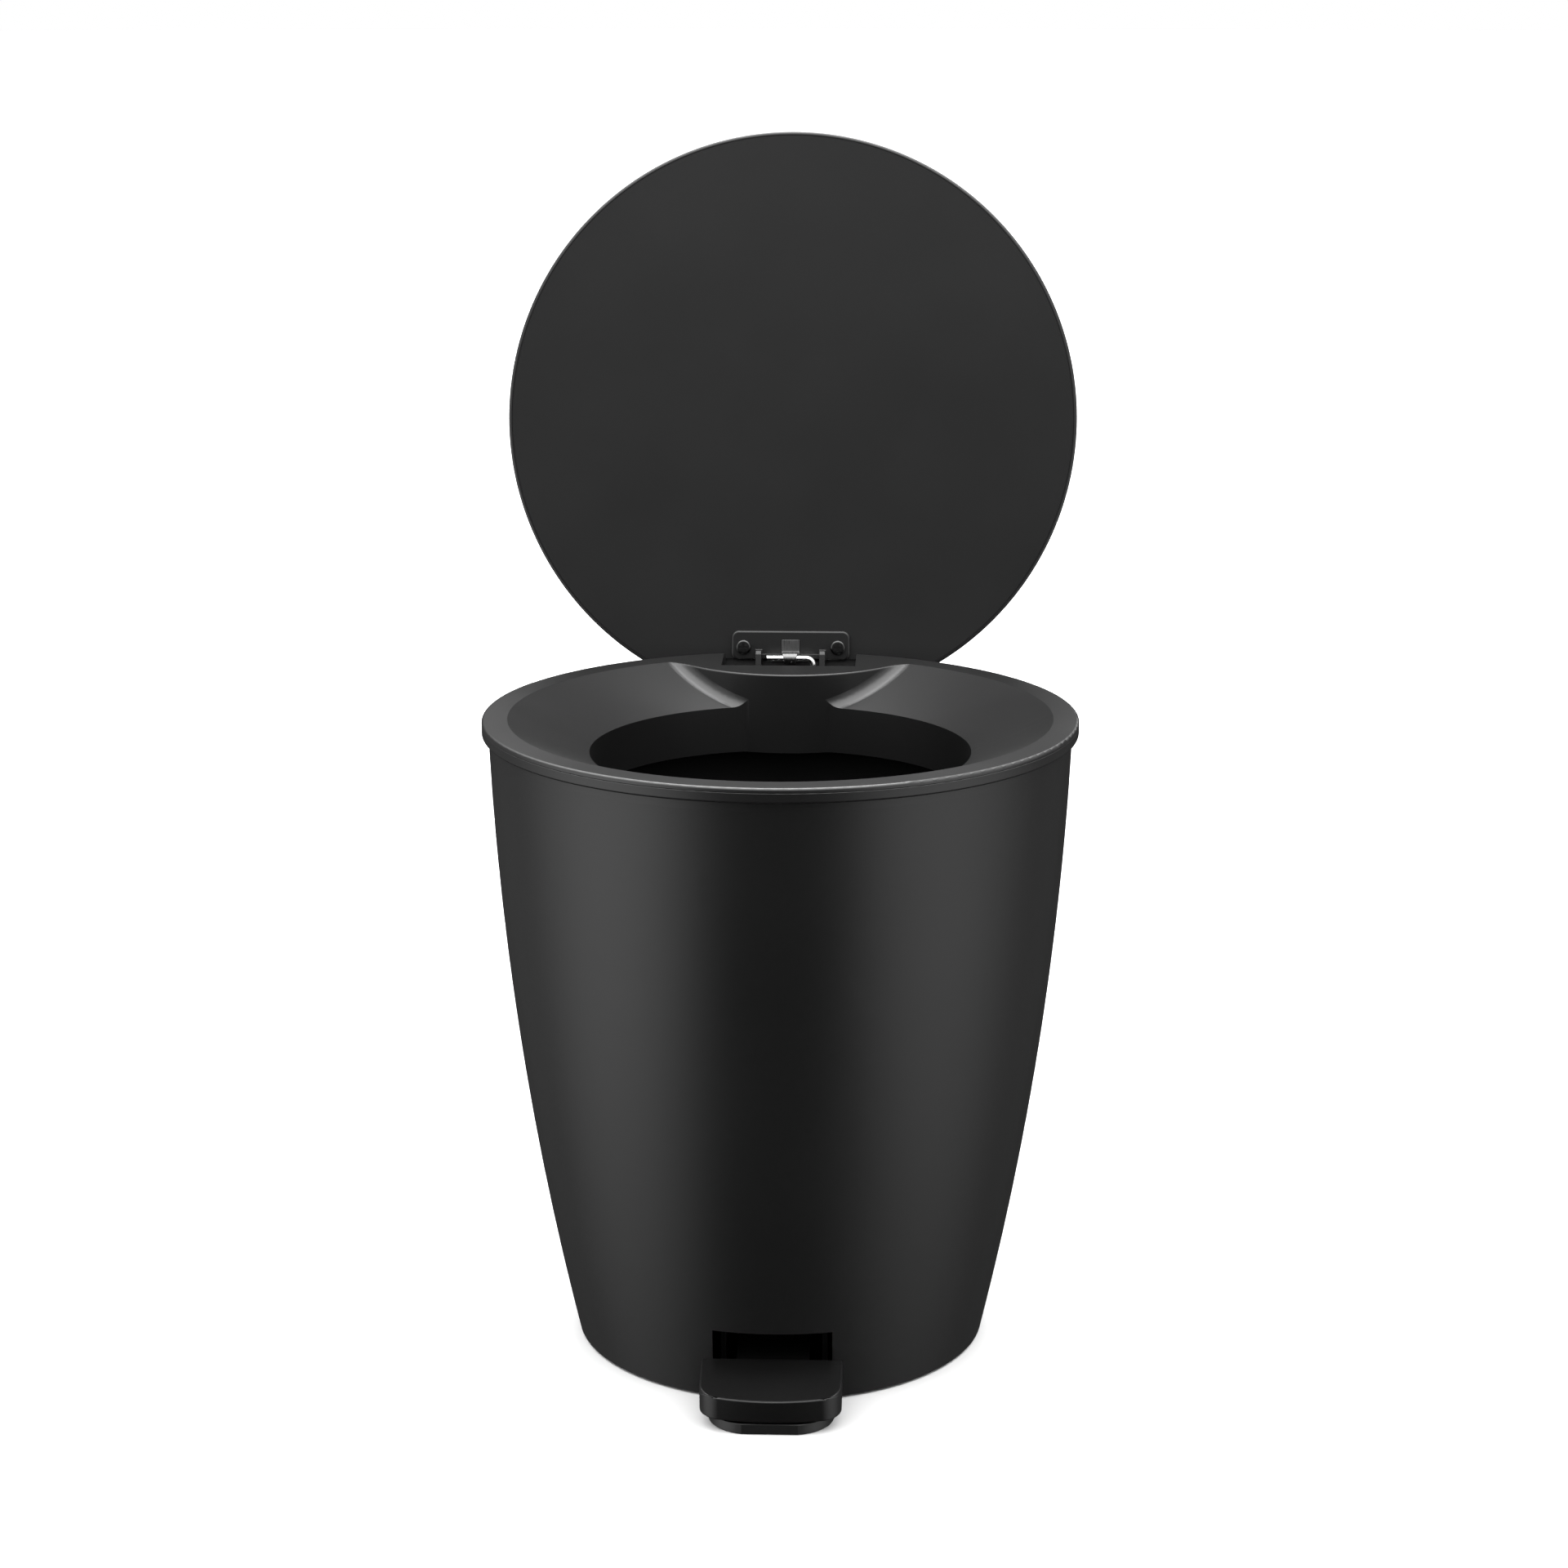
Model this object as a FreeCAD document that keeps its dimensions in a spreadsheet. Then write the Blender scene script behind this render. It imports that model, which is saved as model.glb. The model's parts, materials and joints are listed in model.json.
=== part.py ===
import FreeCAD, Part
import os
import re
import Sketcher

# Pedal bin of the five litre class, in millimetres. +Z is up, the origin is on the floor under the
# middle of the bin, the pedal points along -Y and the hinge is at +Y. The bin is shown open: the
# pedal is down and the lid leans back on its hinge.

Vector = FreeCAD.Vector
doc = FreeCAD.newDocument("PedalBin")
sheet = doc.addObject("Spreadsheet::Sheet", "Sizes")

SIZES = {
    # outer body: the wall is one circular arc in section
    "base_radius": 87.9,
    "middle_radius": 111.2,
    "neck_radius": 122.1,
    "wall_foot": 1.0,
    "neck_height": 262.0,
    "wall": 2.5,
    "bead_radius": 125.0,
    "bead_foot": 266.0,
    "seam_height": 270.2,
    "seam_gap": 0.1,
    # collar ring
    "rim_radius": 125.0,
    "rim_height": 272.0,
    "rim_inner": 114.25,
    "rim_round": 1.1,
    "mouth_radius": 80.25,
    "mouth_height": 256.8,
    "skirt_foot": 236.4,
    "sheet_wall": 1.8,
    "locator_radius": 119.1,
    "locator_foot": 263.5,
    # shelf over the hinge and the notch behind it
    "shelf_arc_centre": 135.0,
    "shelf_arc_radius": 59.7,
    "shelf_cut_half": 59.7,
    "shelf_cut_back": 135.0,
    "shelf_fillet": 5.5,
    "edge_round": 0.8,
    "notch_half": 30.0,
    "notch_front": 94.8,
    "notch_foot": 257.2,
    # hinge and lid
    "hinge_back": 116.0,
    "hinge_height": 262.0,
    "open_angle": 98.0,
    "lid_radius": 129.0,
    "lid_lift": 10.8,
    "lid_lip": 1.5,
    "lid_round": 1.3,
    "lid_edge": 4.6,
    "lid_crown": 5.6,
    "lid_skin": 2.0,
    "liner_inset": 0.3,
    "liner_thick": 1.8,
    "pin_radius": 2.0,
    "pin_half": 25.6,
    "pin_inner": 12.6,
    "running_gap": 0.05,
    # lid bracket
    "bracket_half": 27.0,
    "bracket_top": 20.5,
    "bracket_foot": 7.0,
    "bracket_round": 1.0,
    "rib_reach": 9.8,
    "rib_proud": 1.6,
    "bracket_thick": 3.0,
    "bracket_corner": 3.4,
    "lug_centre": 14.5,
    "lug_thick": 2.75,
    "lug_reach": 11.7,
    "lug_nose": 2.4,
    "eye_radius": 4.0,
    "screw_spacing": 43.0,
    "screw_reach": 13.0,
    "head_radius": 3.35,
    "head_height": 2.1,
    "shank_radius": 1.5,
    "lid_screw_length": 6.0,
    # lift rod, and the strap that holds its crank
    "crank_radius": 8.7,
    "rod_radius": 1.4,
    "rod_x": 10.5,
    "rod_bend": 3.0,
    "rod_tail": 13.0,
    "crank_tail": 10.4,
    "strap_half": 4.0,
    "strap_thick": 1.2,
    "strap_neck": 2.8,
    "strap_top": 16.4,
    "curl_radius": 2.7,
    # pedal, base and axle
    "pivot_height": 20.0,
    "pivot_front": 6.0,
    "foot_back": 80.0,
    "foot_height": 26.0,
    "axle_radius": 2.5,
    "axle_half": 25.4,
    "hub_radius": 6.0,
    "hub_half": 19.4,
    "arm_half": 15.0,
    "tail_half": 6.5,
    "cap_half": 29.0,
    "cap_front": 115.0,
    "cap_back": 86.6,
    "cap_side_front": 103.4,
    "slot_half": 24.7,
    "slot_height": 33.1,
    "base_disc_radius": 84.9,
    "base_floor": 2.5,
    "tongue_neck": 24.4,
    "tongue_half": 27.2,
    "tongue_tip": 11.5,
    "tongue_front": 119.0,
    "tongue_height": 4.5,
    "tongue_shoulder": 89.0,
    "web_inner": 20.0,
    "web_thick": 2.5,
    "web_back": 70.0,
    # inner bucket
    "bucket_floor": 36.0,
    "bucket_top": 242.0,
    "bucket_foot_radius": 76.2,
    "bucket_mouth_radius": 99.2,
    "bucket_wall": 1.2,
    "bucket_flange": 102.0,
    "bail_radius": 91.0,
    "bail_height": 238.5,
    "bail_wire": 1.5,
    # screws that hold the base, and its pads
    "post_circle": 79.0,
    "post_radius": 5.0,
    "post_foot": 10.3,
    "post_top": 34.0,
    "cup_radius": 5.6,
    "cup_depth": 5.0,
    "base_screw_top": 24.0,
    "pad_radius": 7.0,
    "pad_depth": 1.5,
    "pad_circle": 62.0,
    # hinge block inside the notch
    "block_foot": 224.0,
    "block_foot_back": 117.2,
    "block_front": 104.0,
    "block_step": 243.0,
    "block_top": 256.4,
    "block_bridge": 231.0,
    "bridge_front": 113.4,
    "block_half": 29.4,
    "block_slot": 13.4,
    "block_screw_x": 23.0,
    "block_screw_height": 240.0,
    "block_screw_back": 121.2,
    "block_screw_length": 12.0,
    "ear_centre": 20.0,
    "ear_thick": 4.0,
    # lever and cap of the pedal
    "arm_front": 103.0,
    "arm_deep": 4.0,
    "foot_slot_low": 1.9,
    "foot_slot_top": 4.0,
    "foot_slot_front": 4.5,
    "foot_slot_back": 1.9,
    "cap_low": -6.5,
    "cap_front_top": 3.1,
    "cap_back_top": 7.5,
    "pedal_screw_x": 8.0,
    "pedal_screw_back": 95.0,
    "pedal_screw_length": 8.0,
}


for row, (alias, value) in enumerate(SIZES.items(), start=1):
    sheet.set("A%d" % row, alias)
    sheet.set("B%d" % row, str(value))
    sheet.setAlias("B%d" % row, alias)
doc.recompute()

WORD = re.compile(r"\b(%s)\b" % "|".join(SIZES))
BEHIND = "0.4 * rim_radius"
parts = []


def cell(expression):
    """The expression with each size's name pointing at its cell in the sheet."""
    return WORD.sub(r"Sizes.\1", str(expression))


def number(expression):
    return float(sheet.evalExpression(cell(expression)))


def begin(label, frame=None):
    """A new body, which is one piece of the bin. Its frame says where its own origin lies."""
    made = doc.addObject("PartDesign::Body", label)
    made.Label = label
    if frame:
        made.setExpression("Placement", cell(frame))
    parts.append(made)
    return made


def sketch_on(owner, role, shift=None, turn=0):
    """An empty sketch on one of the body's own planes, moved along the plane's normal."""
    made = owner.newObject("Sketcher::SketchObject", owner.Name + "Sketch")
    planes = [f for f in owner.Origin.OriginFeatures if f.Role == role]
    made.AttachmentSupport = [(planes[0], "")]
    made.MapMode = "FlatFace"
    if turn:
        made.AttachmentOffset = FreeCAD.Placement(Vector(), FreeCAD.Rotation(Vector(0, 1, 0), turn))
    if shift:
        made.setExpression("AttachmentOffset.Base.z", cell(shift))
    return made


def hold(made, index, position, x, y):
    """Ties a point of a sketch to the sheet."""
    for kind, expression in (("DistanceX", x), ("DistanceY", y)):
        rule = Sketcher.Constraint(kind, -1, 1, index, position, number(expression))
        place = made.addConstraint(rule)
        made.setExpression("Constraints[%d]" % place, cell(expression))


def spot(x, y):
    return Vector(number(x), number(y), 0)


def outline(made, points, closed=True):
    """Lines and arcs from corner to corner. A point that starts with "arc" isn't a corner: the
    stretch between its neighbours is an arc that passes through it."""
    corners = [p for p in points if p[0] != "arc"]
    stretches = []
    for place, point in enumerate(points):
        if point[0] == "arc":
            continue
        following = points[(place + 1) % len(points)]
        if place + 1 == len(points) and not closed:
            break
        start = spot(*point)
        finish = spot(*corners[(corners.index(point) + 1) % len(corners)])
        if following[0] == "arc":
            index = made.addGeometry(Part.Arc(start, spot(*following[1:]), finish))
            forward = made.getPoint(index, 1).distanceToPoint(start) < 1e-6
            stretches.append((index, 1, 2) if forward else (index, 2, 1))
            through = made.addGeometry(Part.Point(spot(*following[1:])), True)
            made.addConstraint(Sketcher.Constraint("PointOnObject", through, 1, index))
            hold(made, through, 1, *following[1:])
        else:
            index = made.addGeometry(Part.LineSegment(start, finish))
            stretches.append((index, 1, 2))
        hold(made, index, stretches[-1][1], *point)
    for before, after in zip(stretches, stretches[1:]):
        made.addConstraint(Sketcher.Constraint("Coincident", before[0], before[2], after[0], after[1]))
    if closed:
        last, first = stretches[-1], stretches[0]
        made.addConstraint(Sketcher.Constraint("Coincident", last[0], last[2], first[0], first[1]))
    else:
        hold(made, stretches[-1][0], stretches[-1][2], *corners[-1])


def circle(made, x, y, radius):
    index = made.addGeometry(Part.Circle(spot(x, y), Vector(0, 0, 1), number(radius)))
    hold(made, index, 3, x, y)
    place = made.addConstraint(Sketcher.Constraint("Radius", index, number(radius)))
    made.setExpression("Constraints[%d]" % place, cell(radius))


def revolve(owner, points):
    """A solid turned about the body's own Z axis from an outline in its XZ plane."""
    profile = sketch_on(owner, "XZ_Plane")
    outline(profile, points)
    made = owner.newObject("PartDesign::Revolution", owner.Name + "Turned")
    made.Profile = profile
    made.ReferenceAxis = (profile, ["V_Axis"])
    made.Angle = 360
    return made


def extrude(owner, profile, length, kind="Pad"):
    """A pad or a pocket that goes half its length to each side of its sketch."""
    made = owner.newObject("PartDesign::" + kind, owner.Name + kind)
    made.Profile = profile
    made.SideType = "Symmetric"
    made.setExpression("Length", cell(length))
    return made


def slab(owner, role, low, high, points, kind="Pad", turn=0):
    """An outline extruded between two distances along the normal of one of the body's planes."""
    profile = sketch_on(owner, role, "((%s) + (%s)) / 2" % (low, high), turn)
    outline(profile, points)
    return extrude(owner, profile, "(%s) - (%s)" % (high, low), kind)


def rod_through(owner, role, low, high, x, y, radius, kind="Pad"):
    """A round bar, or a round hole, between two distances along a plane's normal."""
    profile = sketch_on(owner, role, "((%s) + (%s)) / 2" % (low, high))
    circle(profile, x, y, radius)
    return extrude(owner, profile, "(%s) - (%s)" % (high, low), kind)


def box(low_x, high_x, low_y, high_y):
    return [(low_x, low_y), (high_x, low_y), (high_x, high_y), (low_x, high_y)]


def repeat(owner, feature, count):
    """The feature repeated in even steps about the body's Z axis."""
    made = owner.newObject("PartDesign::PolarPattern", owner.Name + "Pattern")
    made.Originals = [feature]
    axes = [f for f in owner.Origin.OriginFeatures if f.Role == "Z_Axis"]
    made.Axis = (axes[0], [""])
    made.Angle = 360
    made.Occurrences = count
    owner.Tip = made
    return made


def round_edges(owner, radius, wanted):
    """Rounds the edges of the body's last shape for which wanted(edge) is true."""
    doc.recompute()
    last = owner.Tip
    names = [
        "Edge%d" % place
        for place, edge in enumerate(last.Shape.Edges, start=1)
        if wanted(edge)
    ]
    made = owner.newObject("PartDesign::Fillet", owner.Name + "Fillet")
    made.Base = (last, names)
    made.setExpression("Radius", cell(radius))
    return made


LID_FRAME = (
    "placement(vector(0; hinge_back; hinge_height); rotation(vector(1; 0; 0); -open_angle))"
)
ROD_TOP = "hinge_height + crank_radius"
ROD_LENGTH = "sqrt((hinge_back - foot_back)^2 + (hinge_height + crank_radius - foot_height)^2)"
ROD_FRAME = (
    "placement(vector(0; hinge_back; %s); rotation(vector(1; 0; 0);"
    " -atan((hinge_back - foot_back) / (%s - foot_height))))" % (ROD_TOP, ROD_TOP)
)
PEDAL_REACH = "sqrt((foot_back + pivot_front)^2 + (foot_height - pivot_height)^2)"
PEDAL_FRAME = (
    "placement(vector(0; -pivot_front; pivot_height); rotation(vector(1; 0; 0);"
    " atan((foot_height - pivot_height) / (foot_back + pivot_front))))"
)


def make_outer_body():
    """The tapered shell, open below, with a rolled bead under the collar."""
    shell = begin("outer_body")
    inner_foot = "base_radius - wall"
    inner_middle = "middle_radius - wall"
    inner_neck = "neck_radius - wall"
    middle = "(wall_foot + neck_height) / 2"
    revolve(shell, [
        ("base_radius", "wall_foot"),
        ("arc", "middle_radius", middle),
        ("neck_radius", "neck_height"),
        ("neck_radius", "bead_foot - 0.6"),
        ("bead_radius - 0.6", "bead_foot - 0.2"),
        ("arc", "bead_radius - 0.15", "bead_foot + 0.2"),
        ("bead_radius", "bead_foot + 0.8"),
        ("bead_radius", "seam_height - seam_gap - 0.3"),
        ("bead_radius - 0.3", "seam_height - seam_gap"),
        (inner_neck, "seam_height - seam_gap"),
        (inner_neck, "neck_height"),
        ("arc", inner_middle, middle),
        (inner_foot, "wall_foot"),
    ])
    rib = slab(shell, "XZ_Plane", "-3", "3", [
        ("post_circle", "post_foot"),
        ("base_radius + 0.7", "post_foot"),
        ("base_radius + 5.4", "post_top"),
        ("post_circle", "post_top"),
    ], turn=45)
    repeat(shell, rib, 4)
    post = rod_through(
        shell, "XY_Plane", "post_foot", "post_top",
        "post_circle * cos(45)", "post_circle * sin(45)", "post_radius",
    )
    repeat(shell, post, 4)
    bore = rod_through(
        shell, "XY_Plane", "post_foot - 1", "post_top - 3",
        "post_circle * cos(45)", "post_circle * sin(45)", "shank_radius + running_gap", "Pocket",
    )
    repeat(shell, bore, 4)
    slab(shell, "XZ_Plane", BEHIND, "2 * rim_radius",
         box("-slot_half", "slot_half", "-wall", "slot_height"), "Pocket")
    slab(shell, "XY_Plane", "notch_foot", "rim_height + 5",
         box("-notch_half", "notch_half", "notch_front - 3", "2 * rim_radius"), "Pocket")
    for side in (-1, 1):
        rod_through(shell, "XZ_Plane", "-1.2 * rim_radius", "-0.8 * rim_radius",
                    "%d * block_screw_x" % side, "block_screw_height",
                    "shank_radius + running_gap", "Pocket")


def make_collar():
    """The ring that closes the gap between body and bucket: a flat rim, a funnel, a skirt that
    hangs in the bucket's mouth, and a shelf that covers the hinge."""
    above = "2 * rim_height - mouth_height"
    hollow = "notch_front - 3"

    void = doc.addObject("PartDesign::Body", "collar_void")
    revolve(void, [
        ("0", "skirt_foot - 5"),
        ("mouth_radius", "skirt_foot - 5"),
        ("mouth_radius", "mouth_height"),
        ("2 * rim_inner - mouth_radius", above),
        ("0", above),
    ])
    slab(void, "XY_Plane", "skirt_foot - 10", above + " + 5", [
        ("-shelf_cut_half", "shelf_cut_back"),
        ("arc", "0", "shelf_arc_centre - shelf_arc_radius"),
        ("shelf_cut_half", "shelf_cut_back"),
        ("shelf_cut_half", "2 * rim_radius"),
        ("-shelf_cut_half", "2 * rim_radius"),
    ], "Pocket")
    shelf_front = number("shelf_arc_centre - shelf_arc_radius")
    shelf_side = number("mouth_radius")

    def in_shelf_corner(edge):
        reach_box = edge.BoundBox
        return shelf_front < reach_box.YMin < shelf_side and reach_box.ZLength > 0.3

    round_edges(void, "shelf_fillet", in_shelf_corner)

    collar = begin("collar_ring")
    revolve(collar, [
        ("mouth_radius - 12", "rim_height"),
        ("rim_radius - rim_round", "rim_height"),
        ("arc", "rim_radius - 0.29 * rim_round", "rim_height - 0.29 * rim_round"),
        ("rim_radius", "rim_height - rim_round"),
        ("rim_radius", "seam_height"),
        ("locator_radius", "seam_height"),
        ("locator_radius", "locator_foot"),
        ("locator_radius - sheet_wall", "locator_foot"),
        ("locator_radius - sheet_wall", "seam_height"),
        ("rim_inner + 0.3", "seam_height"),
        ("mouth_radius + sheet_wall", "mouth_height - sheet_wall"),
        ("mouth_radius + sheet_wall", "skirt_foot"),
        ("mouth_radius - 12", "skirt_foot"),
    ])
    opening = collar.newObject("PartDesign::Boolean", "CollarOpening")
    opening.setObjects([void])
    opening.Type = "Cut"
    top = number("rim_height")
    inside = number("rim_radius - 5")

    def on_inner_top(edge):
        reach_box = edge.BoundBox
        outermost = max(-reach_box.XMin, -reach_box.YMin, reach_box.XMax, reach_box.YMax)
        return reach_box.ZMin > top - 0.01 and outermost < inside

    round_edges(collar, "edge_round", on_inner_top)
    slab(collar, "XY_Plane", "skirt_foot", "rim_height + 5",
         box("-notch_half", "notch_half", "notch_front", "2 * rim_radius"), "Pocket")
    slab(collar, "XY_Plane", "locator_foot - 10", "rim_height - sheet_wall", [
        ("-notch_half - 8", hollow),
        ("notch_half + 8", hollow),
        ("notch_half + 8", "rim_inner - 9"),
        ("-notch_half - 8", "rim_inner - 9"),
    ], "Pocket")


def make_bucket():
    """The lift-out inner bucket and its wire bail, which lies folded on its inner rim."""
    bucket = begin("inner_bucket")
    inner_foot = "bucket_foot_radius - bucket_wall"
    inner_mouth = "bucket_mouth_radius - bucket_wall"
    revolve(bucket, [
        ("0", "bucket_floor"),
        ("bucket_foot_radius - 5", "bucket_floor"),
        ("arc", "bucket_foot_radius - 1.4", "bucket_floor + 1.3"),
        ("bucket_foot_radius + 0.5", "bucket_floor + 5"),
        ("bucket_mouth_radius", "bucket_top - 2.5"),
        ("bucket_flange", "bucket_top - 2.5"),
        ("bucket_flange", "bucket_top"),
        (inner_mouth, "bucket_top"),
        (inner_foot + " + 0.6", "bucket_floor + bucket_wall + 4.5"),
        ("arc", inner_foot + " - 1.1", "bucket_floor + bucket_wall + 1.2"),
        (inner_foot + " - 4.5", "bucket_floor + bucket_wall"),
        ("0", "bucket_floor + bucket_wall"),
    ])
    rod_through(bucket, "YZ_Plane", "-1.2 * bucket_flange", "1.2 * bucket_flange",
                "0", "bail_height", "bail_wire + running_gap", "Pocket")

    bail = begin("bucket_bail")
    path = sketch_on(bail, "XY_Plane", "bail_height")
    outline(path, [
        ("-bucket_flange + 1", "0"),
        ("-bail_radius", "0"),
        ("arc", "0", "bail_radius"),
        ("bail_radius", "0"),
        ("bucket_flange - 1", "0"),
    ], closed=False)
    section = sketch_on(bail, "YZ_Plane", "-bucket_flange + 1")
    circle(section, "0", "bail_height", "bail_wire")
    pipe = bail.newObject("PartDesign::AdditivePipe", "BailWire")
    pipe.Profile = section
    pipe.Spine = (path, [])
    pipe.Transition = "Round corner"


def make_base():
    """The floor plate, with the tongue under the pedal, two webs that carry the pedal's axle and
    the bucket, and four cups for the screws that hold the outer body."""
    base = begin("base_plate")
    rod_through(base, "XY_Plane", "0", "base_floor", "0", "0", "base_disc_radius")
    slab(base, "XY_Plane", "0", "tongue_height", [
        ("-tongue_neck", "-web_back"),
        ("-tongue_neck", "-tongue_shoulder"),
        ("-tongue_half", "-tongue_shoulder"),
        ("arc", "-tongue_half + 0.4", "-tongue_shoulder - 9"),
        ("-tongue_half + 1.9", "-tongue_front + 13"),
        ("arc", "-tongue_half + 7", "-tongue_front + 4.4"),
        ("-tongue_tip", "-tongue_front"),
        ("tongue_tip", "-tongue_front"),
        ("arc", "tongue_half - 7", "-tongue_front + 4.4"),
        ("tongue_half - 1.9", "-tongue_front + 13"),
        ("arc", "tongue_half - 0.4", "-tongue_shoulder - 9"),
        ("tongue_half", "-tongue_shoulder"),
        ("tongue_neck", "-tongue_shoulder"),
        ("tongue_neck", "-web_back"),
    ])
    for side in (-1, 1):
        low = "%d * (web_inner + web_thick / 2) - web_thick / 2" % side
        slab(base, "YZ_Plane", low, low + " + web_thick",
             box("-web_back", "web_back", "0", "bucket_floor"))
    cup = rod_through(base, "XY_Plane", "0", "post_foot",
                      "post_circle * cos(45)", "post_circle * sin(45)", "cup_radius")
    repeat(base, cup, 4)
    for low, high, radius in (
        ("-1", "cup_depth", "head_radius + 0.6"),
        ("-1", "post_foot + 1", "shank_radius + 0.4"),
    ):
        hole = rod_through(base, "XY_Plane", low, high, "post_circle * cos(45)",
                           "post_circle * sin(45)", radius, "Pocket")
        repeat(base, hole, 4)
    recess = rod_through(base, "XY_Plane", "-pad_depth", "pad_depth", "pad_circle", "0",
                         "pad_radius + 0.1", "Pocket")
    repeat(base, recess, 4)
    rod_through(base, "YZ_Plane", "-2 * web_inner", "2 * web_inner", "-pivot_front", "pivot_height",
                "axle_radius", "Pocket")

    for number_of_pad, (x, y) in enumerate(((1, 0), (0, 1), (-1, 0), (0, -1)), start=1):
        pad = begin("rubber_pad_%d" % number_of_pad)
        rod_through(pad, "XY_Plane", "0", "pad_depth", "%d * pad_circle" % x,
                    "%d * pad_circle" % y, "pad_radius")


def make_screw(label, frame, length):
    """A pan-head screw with a cross recess. Its head stands on the plane z = 0 of its frame and
    its shank goes down from there."""
    screw = begin(label, frame)
    crown = "head_height"
    revolve(screw, [
        ("0", "-(%s)" % length),
        ("shank_radius * 0.5", "-(%s)" % length),
        ("shank_radius", "-(%s) + 1.5" % length),
        ("shank_radius", "0"),
        ("head_radius", "0"),
        ("head_radius", "0.5 * head_height"),
        ("arc", "0.94 * head_radius", "0.82 * head_height"),
        ("0.78 * head_radius", "0.96 * head_height"),
        ("0", crown),
    ])
    arm = "0.17 * head_radius"
    reach = "0.56 * head_radius"
    slab(screw, "XY_Plane", "0.35 * head_height", "1.2 * head_height", [
        (arm, arm), (arm, reach), ("-" + arm, reach), ("-" + arm, arm),
        ("-" + reach, arm), ("-" + reach, "-" + arm), ("-" + arm, "-" + arm),
        ("-" + arm, "-" + reach), (arm, "-" + reach), (arm, "-" + arm),
        (reach, "-" + arm), (reach, arm),
    ], "Pocket")


def make_clip(label, frame, shaft):
    """A flat retaining ring with one open side, pushed over a shaft's groove."""
    clip = begin(label, frame)
    rod_through(clip, "YZ_Plane", "-0.4", "0.4", "0", "0", shaft + " + 1.4")
    rod_through(clip, "YZ_Plane", "-1", "1", "0", "0", shaft, "Pocket")
    slab(clip, "YZ_Plane", "-1", "1",
         box("-%s * 0.6" % shaft, "%s * 0.6" % shaft, "0", "%s + 3" % shaft), "Pocket")


def make_hinge():
    """The block behind the notch, with the two ears that hold the lid's pin."""
    block = begin("hinge_block")
    inner = "neck_radius - wall - 0.3"
    # the block's back follows the body's wall, which leans out towards the top
    revolve(block, [
        ("block_front", "block_foot"),
        ("block_foot_back", "block_foot"),
        (inner + " - 0.4", "block_top"),
        ("notch_front + 1", "block_top"),
        ("notch_front + 1", "block_step + 2"),
        ("block_front", "block_step"),
    ])
    for side in (-1, 1):
        slab(block, "XY_Plane", "block_foot - 1", "block_top + 1", [
            ("%d * block_half" % side, "-2 * rim_radius"),
            ("%d * block_half" % side, "2 * rim_radius"),
            ("%d * 2 * rim_radius" % side, "2 * rim_radius"),
            ("%d * 2 * rim_radius" % side, "-2 * rim_radius"),
        ], "Pocket")
    slab(block, "XY_Plane", "block_foot - 1", "block_top + 1",
         box("-2 * rim_radius", "2 * rim_radius", "-2 * rim_radius", "0"), "Pocket")
    slab(block, "XY_Plane", "block_bridge", "block_top + 1",
         box("-block_slot", "block_slot", "0", "2 * rim_radius"), "Pocket")
    slab(block, "XY_Plane", "block_foot - 1", "block_bridge + 1",
         box("-block_slot", "block_slot", "0", "bridge_front"), "Pocket")
    for side in (-1, 1):
        low = "%d * ear_centre - ear_thick / 2" % side
        slab(block, "YZ_Plane", low, low + " + ear_thick", [
            ("hinge_back - 1.5 * eye_radius", "block_top - 1"),
            ("hinge_back - eye_radius", "hinge_height"),
            ("arc", "hinge_back", "hinge_height + eye_radius"),
            ("hinge_back + eye_radius", "hinge_height"),
            ("hinge_back + eye_radius", "notch_foot + 0.3"),
            ("hinge_back + 0.5", "notch_foot + 0.3"),
            ("hinge_back + 0.5", "block_top - 1"),
        ])
    rod_through(block, "YZ_Plane", "-block_half", "block_half", "hinge_back", "hinge_height",
                "pin_radius", "Pocket")
    for side in (-1, 1):
        rod_through(block, "XZ_Plane", "-1.2 * rim_radius", "-0.7 * rim_radius",
                    "%d * block_screw_x" % side, "block_screw_height",
                    "shank_radius + running_gap", "Pocket")

    for side, name in ((-1, "left"), (1, "right")):
        # two short pins leave the middle free for the lift rod
        pin = begin("hinge_pin_" + name,
                    "placement(vector(0; hinge_back; hinge_height); rotation(0; 0; 0))")
        middle = "%d * (pin_half + pin_inner) / 2" % side
        rod_through(pin, "YZ_Plane", middle + " - (pin_half - pin_inner) / 2",
                    middle + " + (pin_half - pin_inner) / 2", "0", "0", "pin_radius")
        make_clip("hinge_pin_clip_" + name,
                  "placement(vector(%d * (pin_half - 1.2); hinge_back; hinge_height);"
                  " rotation(0; 0; 0))" % side, "pin_radius")
        make_screw("hinge_screw_" + name,
                   "placement(vector(%d * block_screw_x; block_screw_back; block_screw_height);"
                   " rotation(vector(1; 0; 0); -90))" % side, "block_screw_length")


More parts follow.
